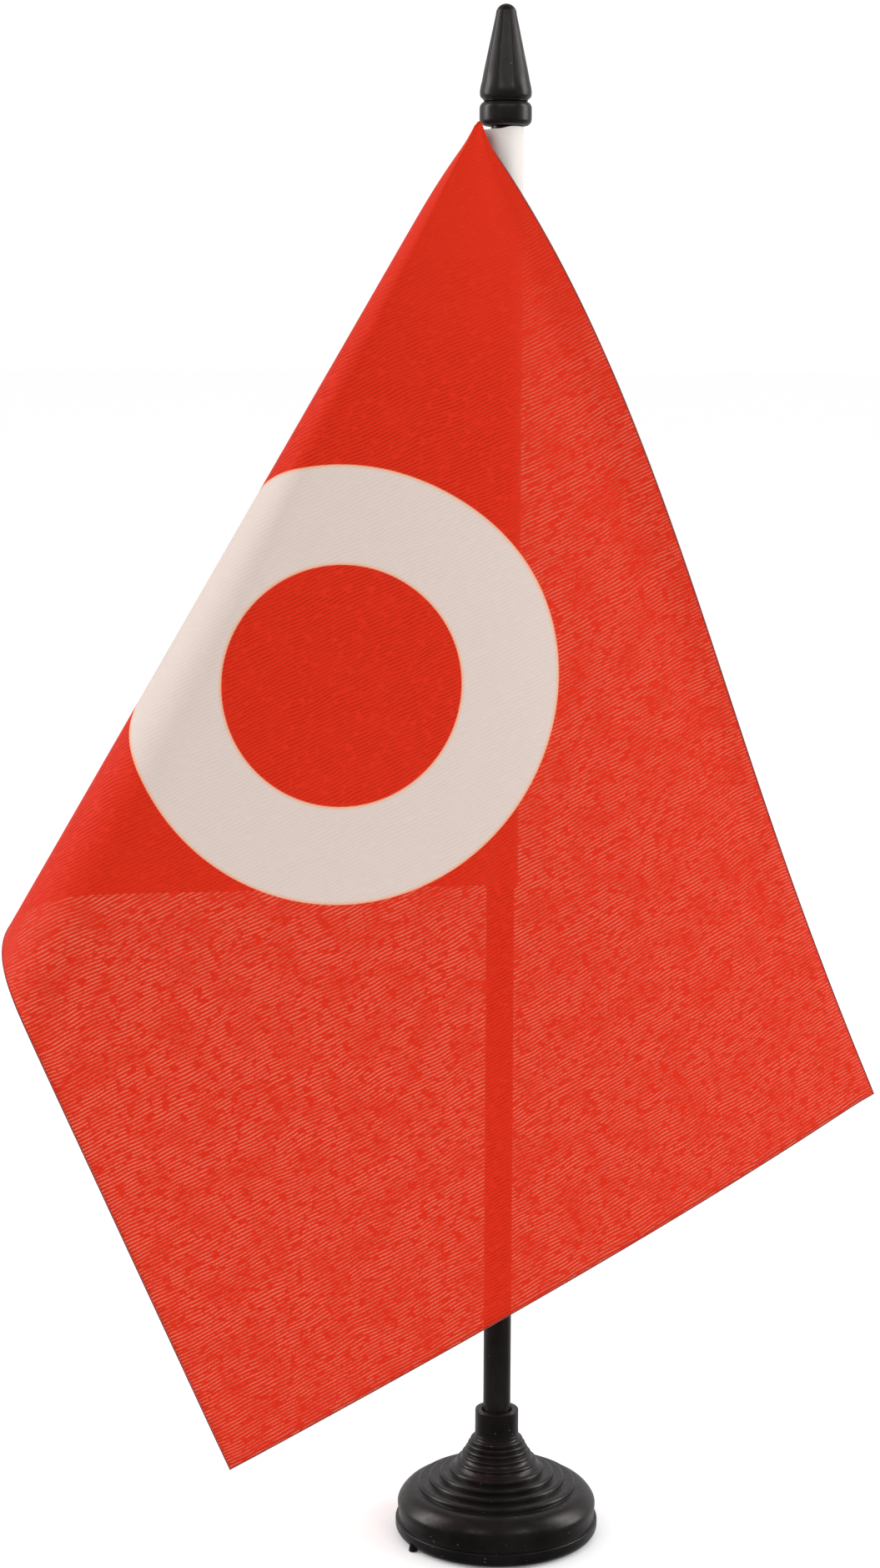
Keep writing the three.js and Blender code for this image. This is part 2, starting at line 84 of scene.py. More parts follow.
def turned(name, profile, sides, shape=None):
    """A closed profile of (radius, height) points turned about the pole's axis."""
    bm = bmesh.new()
    rings = []
    for radius, z in profile:
        if radius < 1e-7:
            rings.append([bm.verts.new((0, 0, z))])
            continue
        ring = []
        for k in range(sides):
            angle = 2 * math.pi * k / sides
            r = shape(radius, z, angle) if shape else radius
            ring.append(bm.verts.new((r * math.cos(angle), r * math.sin(angle), z)))
        rings.append(ring)
    loop = profile[0][0] > 1e-7 or profile[-1][0] > 1e-7
    pairs = list(zip(rings, rings[1:])) + ([(rings[-1], rings[0])] if loop else [])
    for low, high in pairs:
        for k in range(sides):
            corners = [
                low[k % len(low)],
                low[(k + 1) % len(low)],
                high[(k + 1) % len(high)],
                high[k % len(high)],
            ]
            corners = list(dict.fromkeys(corners))
            if len(corners) > 2:
                bm.faces.new(corners)
    bmesh.ops.recalc_face_normals(bm, faces=bm.faces)
    mesh = bpy.data.meshes.new(name)
    bm.to_mesh(mesh)
    bm.free()
    mesh.shade_smooth()
    mesh.set_sharp_from_angle(angle=crease)
    piece = bpy.data.objects.new(name, mesh)
    bpy.context.scene.collection.objects.link(piece)
    return piece


def finish_nodes(name, roughness, specular=0.5):
    """A new material with Object coordinates ready: its nodes, a wire maker and the shader."""
    material = bpy.data.materials.new(name)
    material.use_nodes = True
    nodes = material.node_tree.nodes
    links = material.node_tree.links
    shader = nodes["Principled BSDF"]
    shader.inputs["Roughness"].default_value = roughness
    shader.inputs["Specular IOR Level"].default_value = specular
    place = nodes.new("ShaderNodeTexCoord").outputs["Object"]

    def node(kind, inputs=None, **settings):
        made = nodes.new(kind)
        for key, value in settings.items():
            setattr(made, key, value)
        for socket, value in (inputs or {}).items():
            if isinstance(value, bpy.types.NodeSocket):
                links.new(value, made.inputs[socket])
            else:
                made.inputs[socket].default_value = value
        return made

    return material, node, links, shader, place


def moulded_plastic(name, dark, light, roughness, grain, drag):
    """Black moulded plastic: faint cloudy colour, a fine satin grain, hairline rubs, and pale
    specks that are partly dust and partly painted glints.
    """
    material, node, links, shader, place = finish_nodes(name, roughness)
    stretched = node("ShaderNodeMapping", {"Vector": place, "Scale": drag})
    clouds = node("ShaderNodeTexNoise", {"Vector": place, "Scale": 190.0, "Detail": 4.0})
    rubs = node(
        "ShaderNodeTexNoise",
        {"Vector": stretched.outputs[0], "Scale": 900.0, "Detail": 3.0, "Roughness": 0.6},
    )
    # Pale specks in the base colour: partly dust, partly painted glints that stand in for tiny
    # highlights on the plastic.
    glint_and_dust_cells = node("ShaderNodeTexVoronoi", {"Vector": place, "Scale": 620.0})
    glint_and_dust_mask = node(
        "ShaderNodeMapRange",
        {"Value": glint_and_dust_cells.outputs["Distance"], "From Min": 0.075, "From Max": 0.03},
    )
    tone = node("ShaderNodeValToRGB", {"Fac": clouds.outputs["Fac"]})
    tone.color_ramp.elements[0].position = 0.35
    tone.color_ramp.elements[0].color = (*dark, 1)
    tone.color_ramp.elements[1].position = 0.7
    tone.color_ramp.elements[1].color = (*light, 1)
    glint_and_dusted_tone = node("ShaderNodeMix", {"Factor": glint_and_dust_mask.outputs[0]}, data_type="RGBA")
    links.new(tone.outputs["Color"], glint_and_dusted_tone.inputs[6])
    glint_and_dusted_tone.inputs[7].default_value = (0.16, 0.15, 0.15, 1)
    links.new(glint_and_dusted_tone.outputs[2], shader.inputs["Base Color"])
    gloss = node(
        "ShaderNodeMapRange",
        {"Value": rubs.outputs["Fac"], "From Min": 0.3, "From Max": 0.75},
    )
    gloss.inputs["To Min"].default_value = roughness - 0.05
    gloss.inputs["To Max"].default_value = roughness + 0.1
    links.new(gloss.outputs[0], shader.inputs["Roughness"])
    shader.inputs["Specular Tint"].default_value = (1.0, 0.92, 0.89, 1)
    satin = node("ShaderNodeTexNoise", {"Vector": place, "Scale": 4200.0, "Detail": 2.0})
    relief = node(
        "ShaderNodeBump",
        {"Height": satin.outputs["Fac"], "Strength": grain, "Distance": 0.00002},
    )
    waves = node(
        "ShaderNodeBump",
        {
            "Height": clouds.outputs["Fac"],
            "Strength": 0.2,
            "Distance": 0.00006,
            "Normal": relief.outputs["Normal"],
        },
    )
    links.new(waves.outputs["Normal"], shader.inputs["Normal"])
    return material


def ledged_slope(lips, drop):
    """The stepped line of a run of rounded lips, from the widest one inwards."""
    line = []
    for radius, z in lips:
        line.append(((radius - 0.04) * mm, (z - drop - 0.05) * mm))
        line.append((radius * mm, (z - 0.8 * drop) * mm))
        line.append(((radius - 0.02) * mm, (z - 0.45 * drop) * mm))
        line.append(((radius - 0.14) * mm, (z - 0.12 * drop) * mm))
        line.append(((radius - 0.4) * mm, (z + 0.03) * mm))
        line.append(((radius - 0.7) * mm, (z + 0.05) * mm))
    return line


inner_radius = foot_waist_radius - foot_wall
socket_wall_radius = socket_radius + foot_wall
outside = [
    (foot_waist_radius + 0.12 * mm, parting_z + 0.06 * mm),
    (foot_waist_radius, parting_z + 0.9 * mm),
    (foot_waist_radius + 0.05 * mm, shoulder_z - 1.2 * mm),
    (foot_shoulder_radius, shoulder_z - 0.6 * mm),
    (foot_shoulder_radius + 0.05 * mm, shoulder_z + 0.4 * mm),
    (foot_shoulder_radius - 0.4 * mm, shoulder_z + 1.35 * mm),
    (foot_shoulder_radius - 1.2 * mm, shoulder_z + 2.35 * mm),
    (foot_shoulder_radius - 2.2 * mm, shoulder_z + 3.1 * mm),
    (foot_shoulder_radius - 3.3 * mm, shoulder_z + 3.3 * mm),
    *ledged_slope(dome_ledges, ledge_drop),
    *ledged_slope(neck_rings, ring_drop),
    (neck_radius + 0.1 * mm, neck_foot_z),
    (neck_radius, neck_foot_z + 0.3 * mm),
    (neck_radius, neck_top_z - 0.8 * mm),
    (neck_radius, neck_top_z - 0.1 * mm),
    (neck_radius - 0.2 * mm, neck_top_z),
    (neck_radius - 0.8 * mm, neck_top_z),
    (socket_radius + 0.3 * mm, neck_top_z),
    (socket_radius, neck_top_z - 0.4 * mm),
    (socket_radius, neck_top_z - 1.2 * mm),
]
foot_profile = [
    (inner_radius, parting_z),
    (foot_waist_radius + 0.1 * mm, parting_z),
    *softened(outside, 2),
    (socket_radius, socket_floor_z),
    (0, socket_floor_z),
    (0, socket_floor_z - socket_floor_thickness),
    (socket_wall_radius, socket_floor_z - socket_floor_thickness),
    (socket_wall_radius, 12.6 * mm),
    (7.6 * mm, 11.4 * mm),
    (13.2 * mm, 9.3 * mm),
    (inner_radius - 1.3 * mm, 7.7 * mm),
    (inner_radius, 6.2 * mm),
]
foot = turned("foot_moulding", foot_profile, round_sides)
foot_plastic = moulded_plastic(
    "satin_black_foot",
    dark=(0.0050, 0.0037, 0.0038),
    light=(0.0095, 0.0070, 0.0073),
    roughness=0.33,
    grain=0.25,
    drag=(1, 1, 1),
)
foot.data.materials.append(foot_plastic)
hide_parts("base_shell")
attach(foot, "base")

# ---------------------------------------------------------------------------
# Foot cap. A flat black disc with a rounded rim that closes the shell from
# below; the small stub at its edge is where the moulding gate was snapped off.
# ---------------------------------------------------------------------------
cap_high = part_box("bottom_cap")[1]
cap_radius = 19.65 * mm
cap_round = 1.8 * mm
spigot_radius = inner_radius - 0.1 * mm
spigot_wall = 0.6 * mm
cap_floor = 2.0 * mm
gate_angle = math.radians(213)
gate_reach = cap_radius - 0.5 * mm
gate_height = 1.3 * mm
gate_foot_radius = 0.9 * mm
gate_top_radius = 0.72 * mm
rim = [
    (
        cap_radius - cap_round + cap_round * math.sin(math.radians(bend)),
        cap_round - cap_round * math.cos(math.radians(bend)),
    )
    for bend in range(0, 91, 10)
]
rim += [
    (cap_radius, parting_z - 0.3 * mm),
    (cap_radius - 0.05 * mm, parting_z - 0.06 * mm),
    (cap_radius - 0.15 * mm, parting_z),
]
cap = turned(
    "foot_cap",
    [
        (0, 0),
        *softened(rim, 1),
        (spigot_radius, parting_z),
        (spigot_radius, cap_high.z),
        (spigot_radius - spigot_wall, cap_high.z),
        (spigot_radius - spigot_wall, cap_floor),
        (0, cap_floor),
    ],
    round_sides,
)
gate = bmesh.new()
bmesh.ops.create_cone(
    gate,
    cap_ends=True,
    segments=20,
    radius1=gate_foot_radius,
    radius2=gate_top_radius,
    depth=gate_height,
)
gate_x = gate_reach * math.cos(gate_angle)
gate_y = gate_reach * math.sin(gate_angle)
bmesh.ops.translate(gate, verts=gate.verts, vec=(gate_x, gate_y, gate_height / 2))
gate_mesh = bpy.data.meshes.new("gate_stub")
gate.to_mesh(gate_mesh)
gate.free()
gate_stub = bpy.data.objects.new("gate_stub", gate_mesh)
bpy.context.scene.collection.objects.link(gate_stub)
union = cap.modifiers.new("gate", "BOOLEAN")
union.operation = "UNION"
union.solver = "EXACT"
union.object = gate_stub
joined = bpy.data.meshes.new_from_object(cap.evaluated_get(bpy.context.evaluated_depsgraph_get()))
cap.modifiers.clear()
cap.data = joined
bpy.data.objects.remove(gate_stub)
cap.data.shade_smooth()
cap.data.set_sharp_from_angle(angle=crease)
cap.data.materials.clear()
cap_plastic = moulded_plastic(
    "satin_black_cap",
    dark=(0.0040, 0.0032, 0.0034),
    light=(0.0080, 0.0064, 0.0068),
    roughness=0.36,
    grain=0.3,
    drag=(1, 1, 1),
)
cap.data.materials.append(cap_plastic)
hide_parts("bottom_cap")
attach(cap, "base")

# ---------------------------------------------------------------------------
# Ballast ring. A punched steel washer that lies in the foot, round the socket,
# and keeps the stand upright. It is turned metal with fine circular marks.
# ---------------------------------------------------------------------------
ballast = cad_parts["ballast_ring"]
steel, node, links, shader, place = finish_nodes("punched_steel", 0.42)
apart = node("ShaderNodeSeparateXYZ", {"Vector": place})
squares = [
    node("ShaderNodeMath", {0: apart.outputs[axis], 1: 2.0}, operation="POWER") for axis in "XY"
]
reach = node(
    "ShaderNodeMath", {0: squares[0].outputs[0], 1: squares[1].outputs[0]}, operation="ADD"
)
radius = node("ShaderNodeMath", {0: reach.outputs[0]}, operation="SQRT")
marks = node(
    "ShaderNodeTexNoise",
    {"W": radius.outputs[0], "Scale": 5200.0, "Detail": 3.0},
    noise_dimensions="1D",
)
patches = node("ShaderNodeTexNoise", {"Vector": place, "Scale": 260.0, "Detail": 5.0})
tint = node("ShaderNodeValToRGB", {"Fac": patches.outputs["Fac"]})
tint.color_ramp.elements[0].position = 0.3
tint.color_ramp.elements[0].color = (0.36, 0.35, 0.34, 1)
tint.color_ramp.elements[1].position = 0.75
tint.color_ramp.elements[1].color = (0.56, 0.56, 0.57, 1)
links.new(tint.outputs["Color"], shader.inputs["Base Color"])
shader.inputs["Metallic"].default_value = 1.0
cut_marks = node(
    "ShaderNodeBump",
    {"Height": marks.outputs["Fac"], "Strength": 0.35, "Distance": 0.00003},
)
links.new(cut_marks.outputs["Normal"], shader.inputs["Normal"])
ballast.data.materials.clear()
ballast.data.materials.append(steel)

# ---------------------------------------------------------------------------
# Pole. A thin-walled black plastic tube, extruded, so its faint lines run
# along it; it stands on the socket's floor and its top is up inside the finial.
# ---------------------------------------------------------------------------
pole_low, pole_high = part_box("pole")
pole_radius = pole_high.x
pole_bore = 1.75 * mm
pole_edge = 0.25 * mm
pole = turned(
    "pole_tube",
    [
        (pole_bore, pole_low.z),
        (pole_radius - pole_edge, pole_low.z),
        (pole_radius, pole_low.z + pole_edge),
        (pole_radius, pole_high.z - pole_edge),
        (pole_radius - pole_edge, pole_high.z),
        (pole_bore, pole_high.z),
    ],
    96,
)
pole_plastic = moulded_plastic(
    "drawn_black_tube",
    dark=(0.0070, 0.0060, 0.0062),
    light=(0.0130, 0.0110, 0.0114),
    roughness=0.3,
    grain=0.15,
    drag=(1, 1, 0.02),
)
pole.data.materials.append(pole_plastic)
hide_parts("pole")
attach(pole, "pole")

# ---------------------------------------------------------------------------
# Finial. A black plastic spear point moulded in one piece: a round collar, a
# tight groove, a soft lip and a ten-sided point with a rounded tip. It pushes
# over the pole's end on a blind bore.
# ---------------------------------------------------------------------------
finial_low, finial_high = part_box("finial")
collar_radius = 4.77 * mm
collar_top_z = 272.7 * mm
groove_z = 273.0 * mm
groove_radius = 4.15 * mm
lip_radius = 4.72 * mm
lip_z = 274.55 * mm
tip_shoulder_z = 288.2 * mm
tip_shoulder_radius = 1.85 * mm
spear_sides = 10
facet_depth = 0.55
facets_start_z = lip_z + 0.4 * mm
facets_fade_over = 3.2 * mm
cone_rows = 24
finial_bore = 2.73 * mm
bore_top_z = 277.3 * mm
collar_bottom_z = finial_low.z
collar_round = 1.25 * mm
collar_line = [(finial_bore + 0.3 * mm, collar_bottom_z)]
for end_z, turn_from in ((collar_bottom_z + collar_round, -90), (collar_top_z - collar_round, 0)):
    for bend in range(turn_from, turn_from + 91, 15):
        collar_line.append(
            (
                collar_radius - collar_round + collar_round * math.cos(math.radians(bend)),
                end_z + collar_round * math.sin(math.radians(bend)),
            )
        )
collar_line += [
    (groove_radius - 0.1 * mm, collar_top_z + 0.04 * mm),
    (groove_radius - 0.16 * mm, groove_z - 0.12 * mm),
    (groove_radius, groove_z + 0.05 * mm),
    (lip_radius - 0.42 * mm, groove_z + 0.2 * mm),
    (lip_radius - 0.06 * mm, lip_z - 1.05 * mm),
    (lip_radius + 0.03 * mm, lip_z - 0.3 * mm),
    (lip_radius - 0.05 * mm, lip_z + 0.4 * mm),
    (lip_radius - 0.2 * mm, lip_z + 1.1 * mm),
    (lip_radius - 0.42 * mm, lip_z + 1.9 * mm),
]
cone_foot = collar_line[-1]
cone_line = []
for k in range(1, cone_rows + 1):
    share = k / cone_rows
    cone_line.append(
        (
            cone_foot[0] + (tip_shoulder_radius - cone_foot[0]) * share,
            cone_foot[1] + (tip_shoulder_z - cone_foot[1]) * share,
        )
    )
tip_line = [
    (
        tip_shoulder_radius * math.cos(math.radians(angle)),
        tip_shoulder_z + (finial_high.z - tip_shoulder_z) * math.sin(math.radians(angle)),
    )
    for angle in range(10, 90, 10)
]


def spear_facets(radius, z, angle):
    """Ten soft-edged flats that fade into the round lip."""
    fade = min(1.0, max(0.0, (z - facets_start_z) / facets_fade_over))
    fade = fade * fade * (3 - 2 * fade)
    in_bore = radius < finial_bore * 1.02 and z < bore_top_z + 0.1 * mm
    if fade == 0 or in_bore:
        return radius
    side = 2 * math.pi / spear_sides
    turn = angle % side - side / 2
    flat = math.cos(side / 2) / math.cos(turn)
    return radius * (1 + facet_depth * (flat * 1.03 - 1) * fade)


finial = turned(
    "spear_finial",
    [
        (finial_bore, collar_bottom_z + 0.3 * mm),
        *softened(collar_line, 1),
        *cone_line,
        *tip_line,
        (0, finial_high.z),
        (0, bore_top_z),
        (finial_bore, bore_top_z),
    ],
    160,
    spear_facets,
)
finial_plastic = moulded_plastic(
    "moulded_black_spear",
    dark=(0.0060, 0.0050, 0.0051),
    light=(0.0105, 0.0088, 0.0090),
    roughness=0.34,
    grain=0.3,
    drag=(1, 1, 0.3),
)
finial.data.materials.append(finial_plastic)
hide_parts("finial")
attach(finial, "finial")

# ---------------------------------------------------------------------------
# Flag cloth. One thin sheet of ribbed woven polyester, printed red with one
# plain white ring. It hangs from the top of its hoist: flat behind the pole,
# over one soft fold, and back across in front of it.
# ---------------------------------------------------------------------------
cloth_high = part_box("flag_cloth")[1]
cloth_length = 205.0
hoist_length = 140.0
free_edge_length = 145.6
cloth_top = cloth_high.z / mm
seam_x = -3.39
fold_starts_at = 2.2
fold_ray_angle = 26.3
fold_ray_radius = 3.75
fold_turn = 187.0
front_swing = 19.5
fold_softness = 3.0
fold_ear = 1.0
ear_starts_by = 9.5
apex_tuck = 0.6
tuck_reach = 3.5
corner_lift = 1.4
lift_reach = 2.6
seam_dip = 0.9
dip_reach = 4
front_stand_off = 6.35
top_edge_bow = 50.0
bow_from_angle = 50.0
cloth_thickness = 0.16
rings_of_cloth = 104
uv_span = 220.0


def walk_rays(count, first, last):
    """Directions of the rays that leave the cloth's top corner, walking round the fold."""
    step = (last - first) / count
    flat = first + step * np.arange(count + 1)
    fold_arc = fold_ray_radius * math.radians(fold_turn)
    fold_end = fold_ray_angle + fold_arc

    def heading(angle):
        over = np.clip((angle - fold_ray_angle) / fold_arc, 0, 1) * fold_turn
        swing = np.clip((angle - fold_end) / (90 - fold_end), 0, None) * front_swing
        return np.where(angle > 90, 360.0, 180 + over + swing)

    offsets = np.arange(-8, 9) / 9
    weights = 1 + np.cos(np.pi * offsets)
    soft = (heading(flat[:, None] + fold_softness * offsets[None, :]) * weights).sum(1)
    soft = np.radians(soft / weights.sum())
    sideways = np.empty(count + 1)
    forward = np.empty(count + 1)
    across, ahead = -first, 0.0
    for i in range(count + 1):
        sideways[i], forward[i] = across, ahead
        across += math.cos(soft[i]) * step / math.cos(math.radians(ahead))
        ahead += math.sin(soft[i]) * step
    return flat, np.radians(sideways), np.radians(forward), fold_arc


rays = walk_rays(1220, -10.0, 112.0)


def hang(along, down):
    """Where points of the flat cloth hang, in mm: along from the hoist, down from the top."""
    flat_angles, sideways, forward, fold_arc = rays
    from_fold = along - fold_starts_at
    reach = np.hypot(from_fold, down)
    flat = np.degrees(np.arctan2(from_fold, down))
    part = np.minimum(1, reach / (cloth_length - fold_starts_at))
    share = np.clip((flat - bow_from_angle) / (90 - bow_from_angle), 0, 1) ** 2
    bow = top_edge_bow * part * (1 - part) ** 2.5 * share
    angle = flat + np.degrees(bow / np.maximum(reach, 1))
    side = np.interp(angle, flat_angles, sideways)
    ahead = np.interp(angle, flat_angles, forward)
    over = np.clip((angle - fold_ray_angle) / fold_arc, 0, 1)
    over = over * over * (3 - 2 * over)
    ear = fold_ear * np.sin(np.pi * over) * (1 - np.exp(-((reach / ear_starts_by) ** 2)))
    ear = ear - apex_tuck * np.exp(-((reach / tuck_reach) ** 2))
    lift = corner_lift * np.exp(-((reach / lift_reach) ** 2)) * np.clip(from_fold / 0.35, 0, 1)
    dip = seam_dip * np.exp(-((down / dip_reach) ** 2)) * np.clip(1 - from_fold / 0.6, 0, 1)
    x = seam_x - fold_starts_at - ear + reach * np.sin(side) * np.cos(ahead)
    y = -front_stand_off * over + reach * np.sin(ahead)
    z = cloth_top + lift - dip - reach * np.cos(side) * np.cos(ahead)
    behind = from_fold <= 0
    return np.stack(
        [
            np.where(behind, seam_x - along, x),
            np.where(behind, 0, y),
            np.where(behind, cloth_top - dip - down, z),
        ],
        -1,
    )


# The mesh follows the folds: a narrow straight strip beside the hoist, then one row of
# points down each ray, close together where the cloth turns over.
corner_angle = math.degrees(math.atan2(cloth_length - fold_starts_at, free_edge_length))
ray_angles = np.concatenate(
    [
        np.linspace(0, 22.5, 14)[:-1],
        np.linspace(22.5, 44, 92)[:-1],
        np.linspace(44, corner_angle, 12)[:-1],
        np.linspace(corner_angle, 90, 44),
    ]
)
shares = np.linspace(0, 1, rings_of_cloth + 1) ** 1.25
bottom_slope = (free_edge_length - hoist_length) / cloth_length
ray_bends = np.radians(ray_angles)
to_bottom = (hoist_length + bottom_slope * fold_starts_at) / (
    np.cos(ray_bends) - bottom_slope * np.sin(ray_bends)
)
to_free_edge = (cloth_length - fold_starts_at) / np.maximum(np.sin(ray_bends), 1e-6)
ray_lengths = np.where(ray_angles < corner_angle - 1e-6, to_bottom, to_free_edge)
strip_along = np.array([0.0, 0.6, 1.2, 1.7])
strip_depth = hoist_length + bottom_slope * strip_along
along = np.concatenate(
    [
        np.repeat(strip_along[:, None], len(shares), axis=1),
        fold_starts_at + (ray_lengths * np.sin(ray_bends))[:, None] * shares,
    ]
)
down = np.concatenate(
    [strip_depth[:, None] * shares, (ray_lengths * np.cos(ray_bends))[:, None] * shares]
)
middle = hang(along, down)
across_step = np.gradient(middle, axis=0)
down_step = np.gradient(middle, axis=1)
outward = np.cross(across_step, down_step)
outward[len(strip_along) :, 0] = outward[0, 0]
outward /= np.linalg.norm(outward, axis=-1, keepdims=True)
reach = np.hypot(along - fold_starts_at, down)
half_thick = (cloth_thickness / 2 * np.clip((reach + 0.3) / 3, 0, 1))[..., None]
corners = np.concatenate(
    [(middle + outward * half_thick).reshape(-1, 3), (middle - outward * half_thick).reshape(-1, 3)]
)
columns, rows = along.shape
total = columns * rows
quads = []
for i in range(columns - 1):
    for j in range(rows - 1):
        a = i * rows + j
        quads.append((a, a + rows, a + rows + 1, a + 1))
        quads.append((total + a, total + a + 1, total + a + rows + 1, total + a + rows))
    top, low = i * rows, i * rows + rows - 1
    quads.append((top, total + top, total + top + rows, top + rows))
    quads.append((low, low + rows, total + low + rows, total + low))
for j in range(rows - 1):
    far = (columns - 1) * rows + j
    quads.append((j, j + 1, total + j + 1, total + j))
    quads.append((far, total + far, total + far + 1, far + 1))
sheet = bmesh.new()
flat_map = sheet.loops.layers.uv.new("flat_cut")
flat_places = np.stack([along.ravel(), free_edge_length - down.ravel()], -1) / uv_span
sheet_points = [sheet.verts.new(corner * mm) for corner in corners]
for quad in quads:
    face = sheet.faces.new([sheet_points[k] for k in quad])
    face.smooth = True
    for loop, k in zip(face.loops, quad):
        loop[flat_map].uv = flat_places[k % total]
bmesh.ops.remove_doubles(sheet, verts=sheet.verts, dist=2e-7)
bmesh.ops.recalc_face_normals(sheet, faces=sheet.faces)
cloth_mesh = bpy.data.meshes.new("flag_sheet")
sheet.to_mesh(cloth_mesh)
sheet.free()
flag = bpy.data.objects.new("flag_sheet", cloth_mesh)
bpy.context.scene.collection.objects.link(flag)

red_cloth, node, links, shader, place = finish_nodes("printed_red_polyester", 0.6, 0.1)
flat_uv = node("ShaderNodeUVMap", uv_map="flat_cut")
flat_mm = node(
    "ShaderNodeMapping", {"Vector": flat_uv.outputs["UV"], "Scale": (uv_span, uv_span, 1.0)}
)
flat_xy = node("ShaderNodeSeparateXYZ", {"Vector": flat_mm.outputs[0]})


def calc(operation, a, b=0.0, c=0.0):
    """One Math node on the cloth's material; returns its output."""
    return node("ShaderNodeMath", {0: a, 1: b, 2: c}, operation=operation).outputs[0]


def ramp(value, low, high, smooth=True):
    """0 below low, 1 above high."""
    made = node("ShaderNodeMapRange", {"Value": value, "From Min": low, "From Max": high})
    made.interpolation_type = "SMOOTHSTEP" if smooth else "LINEAR"
    return made.outputs[0]


# The print: one plain white ring, with a hair of ochre where the dyes meet at its edges.
ring_along = 83.0
ring_up = free_edge_length - 65.0
ring_middle_radius = 31.0
ring_half_width = 9.0
east = calc("SUBTRACT", flat_xy.outputs["X"], ring_along)
north = calc("SUBTRACT", flat_xy.outputs["Y"], ring_up)
distance = calc("SQRT", calc("ADD", calc("MULTIPLY", east, east), calc("MULTIPLY", north, north)))
from_middle = calc("ABSOLUTE", calc("SUBTRACT", distance, ring_middle_radius))
edge_distance = calc("SUBTRACT", ring_half_width, from_middle)
white = ramp(edge_distance, -0.12, 0.12)
halo = ramp(edge_distance, 0.75, 0.1)

# The weave: fine ribs along the hoist. Light comes through between them in short thin
# flecks, clear in some places and blurred in others.
rib_pitch = 0.66
weft_pitch = 0.31
wander = node(
    "ShaderNodeTexNoise",
    {"Vector": flat_mm.outputs[0], "Scale": 0.11, "Detail": 1.0},
)
drifted = calc("MULTIPLY_ADD", wander.outputs["Fac"], 1.3, flat_xy.outputs["X"])
rib = calc("SINE", calc("MULTIPLY", drifted, 2 * math.pi / rib_pitch))
weft = calc("SINE", calc("MULTIPLY", flat_xy.outputs["Y"], 2 * math.pi / weft_pitch))
fleck_place = node("ShaderNodeMapping", {"Vector": flat_mm.outputs[0], "Scale": (0.9, 0.5, 1.0)})
broken = node("ShaderNodeTexNoise", {"Vector": fleck_place.outputs[0], "Scale": 1.0, "Detail": 2.0})
patches = node("ShaderNodeTexNoise", {"Vector": flat_mm.outputs[0], "Scale": 0.17, "Detail": 2.0})
clumps = node("ShaderNodeTexNoise", {"Vector": flat_mm.outputs[0], "Scale": 0.05, "Detail": 3.0})
fleck = calc("MULTIPLY", ramp(rib, -0.3, 0.85), ramp(broken.outputs["Fac"], 0.3, 0.5))
patch_share = calc("MULTIPLY_ADD", ramp(patches.outputs["Fac"], 0.3, 0.6), 0.35, 0.65)
fleck = calc("MULTIPLY", fleck, patch_share)

red_tone = node("ShaderNodeMix", {"Factor": clumps.outputs["Fac"]}, data_type="RGBA")
red_tone.inputs[6].default_value = (0.635, 0.020, 0.004, 1)
red_tone.inputs[7].default_value = (0.655, 0.023, 0.005, 1)
ribbed = node("ShaderNodeMix", {"Factor": ramp(rib, -1.0, 1.0)}, data_type="RGBA")
links.new(red_tone.outputs[2], ribbed.inputs[6])
ribbed.inputs[7].default_value = (0.68, 0.026, 0.006, 1)
ring_tone = node("ShaderNodeMix", {"Factor": calc("MULTIPLY", halo, 0.7)}, data_type="RGBA")
ring_tone.inputs[6].default_value = (0.665, 0.565, 0.515, 1)
ring_tone.inputs[7].default_value = (0.80, 0.38, 0.19, 1)
printed = node("ShaderNodeMix", {"Factor": white}, data_type="RGBA")
links.new(ribbed.outputs[2], printed.inputs[6])
links.new(ring_tone.outputs[2], printed.inputs[7])
cloth_colour = printed.outputs[2]

height = calc("ADD", rib, calc("MULTIPLY", weft, 0.35))
weave_bump = node("ShaderNodeBump", {"Height": height, "Strength": 0.35, "Distance": 0.00004})
links.new(cloth_colour, shader.inputs["Base Color"])
links.new(weave_bump.outputs["Normal"], shader.inputs["Normal"])
shader.inputs["Sheen Weight"].default_value = 0.03
shader.inputs["Sheen Roughness"].default_value = 0.4
through = node("ShaderNodeBsdfTranslucent", {"Color": cloth_colour})
lit_through = node("ShaderNodeMixShader", {"Fac": 0.12})
links.new(shader.outputs[0], lit_through.inputs[1])
links.new(through.outputs[0], lit_through.inputs[2])

# The gaps: the sheet has two faces, so this share of clear light counts twice. The top
# corner is pulled tight and the ring's thick white ink closes the weave.
gaps = node("ShaderNodeBsdfTransparent", {"Color": (1.0, 0.78, 0.64, 1)})
below_corner = calc("SUBTRACT", free_edge_length, flat_xy.outputs["Y"])
along_squared = calc("POWER", flat_xy.outputs["X"], 2.0)
from_corner = calc("SQRT", calc("ADD", along_squared, calc("POWER", below_corner, 2.0)))
fleck = calc("MULTIPLY", fleck, calc("MULTIPLY_ADD", ramp(from_corner, 12.0, 60.0), 0.75, 0.25))
open_share = calc("MULTIPLY_ADD", fleck, 0.42, 0.02)
open_share = calc("MULTIPLY", open_share, calc("MULTIPLY_ADD", white, -0.85, 1.0))
open_weave = node("ShaderNodeMixShader", {"Fac": open_share})
links.new(lit_through.outputs[0], open_weave.inputs[1])
links.new(gaps.outputs[0], open_weave.inputs[2])
output = red_cloth.node_tree.nodes["Material Output"]
links.new(open_weave.outputs[0], output.inputs["Surface"])
cloth_mesh.materials.append(red_cloth)
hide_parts("flag_cloth")
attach(flag, "flag")

